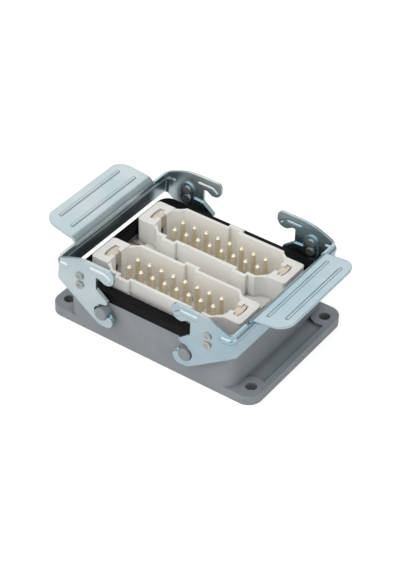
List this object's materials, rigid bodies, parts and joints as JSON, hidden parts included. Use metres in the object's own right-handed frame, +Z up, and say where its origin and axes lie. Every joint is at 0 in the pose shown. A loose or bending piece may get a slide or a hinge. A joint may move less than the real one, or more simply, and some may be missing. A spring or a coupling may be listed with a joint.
{
  "type": "heavy duty rectangular connector",
  "caption": "Surface mounting rectangular connector housing with two male contact inserts side by side and two sheet metal locking levers.",
  "frame": {"origin": "middle of the mounting face, at the bottom of the part", "axes": "+X along the inserts, towards the right lever; +Y across them, towards the rear insert; +Z up, towards the mating side"},
  "size_m": [0.1344, 0.0878, 0.0444],
  "materials": {
    "die_cast_paint": "fine textured powder coat, grey",
    "seal_rubber": "matt black",
    "contact_moulding": "off-white glass filled moulding",
    "contact_metal": "silver plated, slightly dull",
    "earth_metal": "plated, dull",
    "fixing_steel": "zinc plated",
    "lever_sheet": "bright zinc plated sheet",
    "blade_steel": "stamped spring steel",
    "rivet_steel": "plain rivet heads"
  },
  "bodies": {
    "housing": {"housing": "die_cast_paint", "rim_gasket": "seal_rubber", "base_gasket": "seal_rubber", "front_insert": "contact_moulding", "rear_insert": "contact_moulding", "front_left_earth_contact": "earth_metal", "front_right_earth_contact": "earth_metal", "rear_left_earth_contact": "earth_metal", "rear_right_earth_contact": "earth_metal", "front_left_end_plate": "fixing_steel", "front_right_end_plate": "fixing_steel", "rear_left_end_plate": "fixing_steel", "rear_right_end_plate": "fixing_steel", "front_fixing_screws": "fixing_steel", "rear_fixing_screws": "fixing_steel", "front_contact_01": "contact_metal", "front_contact_02": "contact_metal", "front_contact_03": "contact_metal", "front_contact_04": "contact_metal", "front_contact_05": "contact_metal", "front_contact_06": "contact_metal", "front_contact_07": "contact_metal", "front_contact_08": "contact_metal", "front_contact_09": "contact_metal", "front_contact_10": "contact_metal", "front_contact_11": "contact_metal", "front_contact_12": "contact_metal", "front_contact_13": "contact_metal", "front_contact_14": "contact_metal", "front_contact_15": "contact_metal", "front_contact_16": "contact_metal", "rear_contact_01": "contact_metal", "rear_contact_02": "contact_metal", "rear_contact_03": "contact_metal", "rear_contact_04": "contact_metal", "rear_contact_05": "contact_metal", "rear_contact_06": "contact_metal", "rear_contact_07": "contact_metal", "rear_contact_08": "contact_metal", "rear_contact_09": "contact_metal", "rear_contact_10": "contact_metal", "rear_contact_11": "contact_metal", "rear_contact_12": "contact_metal", "rear_contact_13": "contact_metal", "rear_contact_14": "contact_metal", "rear_contact_15": "contact_metal", "rear_contact_16": "contact_metal"},
    "left_lever": {"left_lever": "lever_sheet", "left_lever_front_spring_blade": "blade_steel", "left_lever_rear_spring_blade": "blade_steel", "left_lever_front_rivets": "rivet_steel", "left_lever_rear_rivets": "rivet_steel"},
    "right_lever": {"right_lever": "lever_sheet", "right_lever_front_spring_blade": "blade_steel", "right_lever_rear_spring_blade": "blade_steel", "right_lever_front_rivets": "rivet_steel", "right_lever_rear_rivets": "rivet_steel"}
  },
  "joints": [
    {"name": "left_lever_hinge", "type": "hinge", "parent": "housing", "child": "left_lever", "pos_m": [-0.0234, 0, 0.0177], "axis": [0, -1, 0], "range_deg": [0, 45]},
    {"name": "right_lever_hinge", "type": "hinge", "parent": "housing", "child": "right_lever", "pos_m": [0.0234, 0, 0.0177], "axis": [0, 1, 0], "range_deg": [0, 45]}
  ]
}
